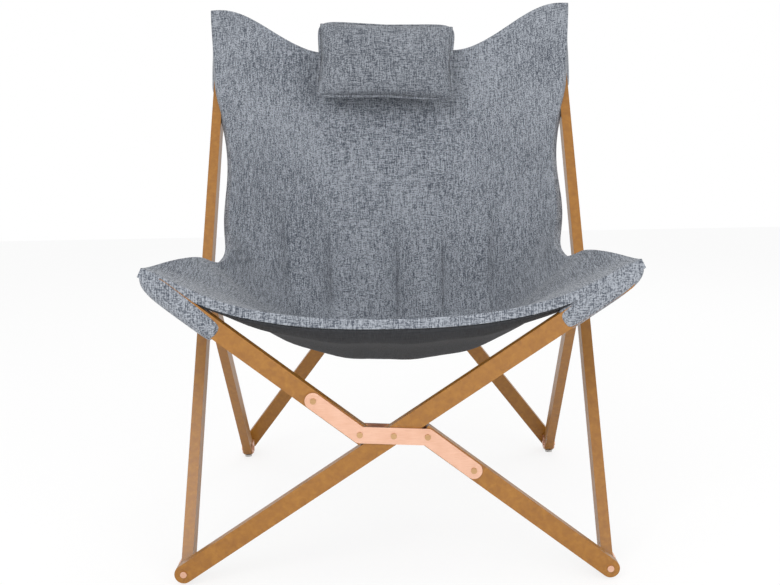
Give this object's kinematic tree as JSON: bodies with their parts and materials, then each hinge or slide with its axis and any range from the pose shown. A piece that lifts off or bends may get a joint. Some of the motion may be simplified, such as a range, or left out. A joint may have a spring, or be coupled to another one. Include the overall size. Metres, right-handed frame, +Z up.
{
  "type": "butterfly sling chair",
  "caption": "Folding lounge chair with crossed flat wooden bars, copper hardware and a padded grey sling hung from wing tips and top corners, with a head pillow",
  "frame": {"origin": "centre of the footprint on the floor", "axes": "+Z up, -Y the front of the chair, +X its right side as seen from the front"},
  "size_m": [0.704, 0.7292, 0.906],
  "materials": {
    "wood": "warm brown lacquered hardwood with fine grain",
    "copper": "satin rose copper plated sheet steel",
    "brass": "satin brass screw heads",
    "glide": "grey plastic glides",
    "sling_fabric": "marled blue grey linen look weave",
    "lining": "black woven lining"
  },
  "bodies": {
    "left_rear": {"left_rear_bracket": "copper"},
    "right_rear": {"right_rear_bracket": "copper"},
    "right_top": {"right_top_link": "copper"},
    "left_frame": {"left_long_bar": "wood", "left_foot_axle": "copper", "left_leg_clip": "copper", "left_leg_axle": "copper", "left_top_clip": "copper", "left_top_axle": "copper", "left_front_glide": "glide", "sling_panel": "sling_fabric", "sling_lining": "lining", "head_pillow": "sling_fabric"},
    "left_foot": {"left_foot_bracket": "copper", "left_foot_rivet": "copper"},
    "front_bar_b": {"front_bar_straight": "wood"},
    "front_bar_a": {"front_bar_upper": "wood", "front_bar_lower": "wood", "crossing_plate_front": "copper", "crossing_plate_back": "copper", "crossing_pivot_pin": "brass", "crossing_screw_1": "brass", "crossing_screw_2": "brass", "crossing_screw_3": "brass", "crossing_screw_4": "brass"},
    "right_foot": {"right_foot_bracket": "copper", "right_foot_rivet": "copper"},
    "right_frame": {"right_long_bar": "wood", "right_foot_axle": "copper", "right_leg_clip": "copper", "right_leg_axle": "copper", "right_top_clip": "copper", "right_top_axle": "copper", "right_front_glide": "glide"},
    "left_leg": {"left_rear_leg": "wood", "left_rear_glide": "glide", "left_rear_axle": "copper"},
    "right_leg": {"right_rear_leg": "wood", "right_rear_glide": "glide", "right_rear_axle": "copper"},
    "back_top": {"left_top_link": "copper"},
    "back_bar_1": {"back_bar_front": "wood", "back_pivot_pin": "copper"},
    "back_bar_2": {"back_bar_rear": "wood"}
  },
  "joints": [
    {"name": "left_foot_lean", "type": "hinge", "parent": "left_frame", "child": "left_foot", "pos_m": [-0.32, -0.32109, 0.0183], "axis": [-1, 0, 0], "range_deg": [0, 31.26]},
    {"name": "fold", "type": "hinge", "parent": "left_foot", "child": "front_bar_b", "pos_m": [-0.32, -0.35099, 0.0183], "axis": [0, -1, 0], "range_deg": [0, 53], "deforming": ["sling_panel", "sling_lining", "head_pillow"]},
    {"name": "front_crossing", "type": "hinge", "parent": "front_bar_b", "child": "front_bar_a", "pos_m": [0, -0.35099, 0.22803], "axis": [0, 1, 0], "range_deg": [0, 106.05]},
    {"name": "right_foot_swivel", "type": "hinge", "parent": "front_bar_a", "child": "right_foot", "pos_m": [0.32, -0.35099, 0.0183], "axis": [0, -1, 0], "range_deg": [0, 53.05]},
    {"name": "right_foot_lean", "type": "hinge", "parent": "right_foot", "child": "right_frame", "pos_m": [0.32, -0.32109, 0.0183], "axis": [1, 0, 0], "range_deg": [0, 31.26]},
    {"name": "left_leg_fold", "type": "hinge", "parent": "left_frame", "child": "left_leg", "pos_m": [-0.32, -0.04676, 0.40571], "axis": [-1, 0, 0], "range_deg": [0, 69.46]},
    {"name": "right_leg_fold", "type": "hinge", "parent": "right_frame", "child": "right_leg", "pos_m": [0.32, -0.04676, 0.40571], "axis": [-1, 0, 0], "range_deg": [0, 69.46]},
    {"name": "back_top_lean", "type": "hinge", "parent": "left_frame", "child": "back_top", "pos_m": [-0.32, 0.23147, 0.85445], "axis": [-1, 0, 0], "range_deg": [0, 34.75]},
    {"name": "back_swing", "type": "hinge", "parent": "back_top", "child": "back_bar_1", "pos_m": [-0.32, 0.25676, 0.85689], "axis": [0, 0.9954, 0.0958], "range_deg": [0, 34.75]},
    {"name": "back_crossing", "type": "hinge", "parent": "back_bar_1", "child": "back_bar_2", "pos_m": [0, 0.29701, 0.43881], "axis": [0, -0.9954, -0.0958], "range_deg": [0, 69.46]},
    {"name": "left_rear_lean", "type": "hinge", "parent": "left_leg", "child": "left_rear", "pos_m": [-0.32, 0.31198, 0.0183], "axis": [1, 0, 0], "range_deg": [0, 34.75]},
    {"name": "right_rear_lean", "type": "hinge", "parent": "right_leg", "child": "right_rear", "pos_m": [0.32, 0.31198, 0.0183], "axis": [1, 0, 0], "range_deg": [0, 34.75]},
    {"name": "right_top_lean", "type": "hinge", "parent": "right_frame", "child": "right_top", "pos_m": [0.32, 0.23147, 0.85445], "axis": [-1, 0, 0], "range_deg": [0, 34.75]}
  ],
  "couplings": [
    {"joint": "left_foot_lean", "follows": "fold", "ratio": 0.58889},
    {"joint": "front_crossing", "follows": "fold", "ratio": 2},
    {"joint": "right_foot_swivel", "follows": "fold", "ratio": 1},
    {"joint": "right_foot_lean", "follows": "fold", "ratio": 0.58889},
    {"joint": "left_leg_fold", "follows": "fold", "ratio": 1.3095},
    {"joint": "right_leg_fold", "follows": "fold", "ratio": 1.3095},
    {"joint": "back_top_lean", "follows": "fold", "ratio": 0.65478},
    {"joint": "back_swing", "follows": "fold", "ratio": 0.65478},
    {"joint": "back_crossing", "follows": "fold", "ratio": 1.3095},
    {"joint": "left_rear_lean", "follows": "fold", "ratio": 0.65478},
    {"joint": "right_rear_lean", "follows": "fold", "ratio": 0.65478},
    {"joint": "right_top_lean", "follows": "fold", "ratio": 0.65478}
  ]
}
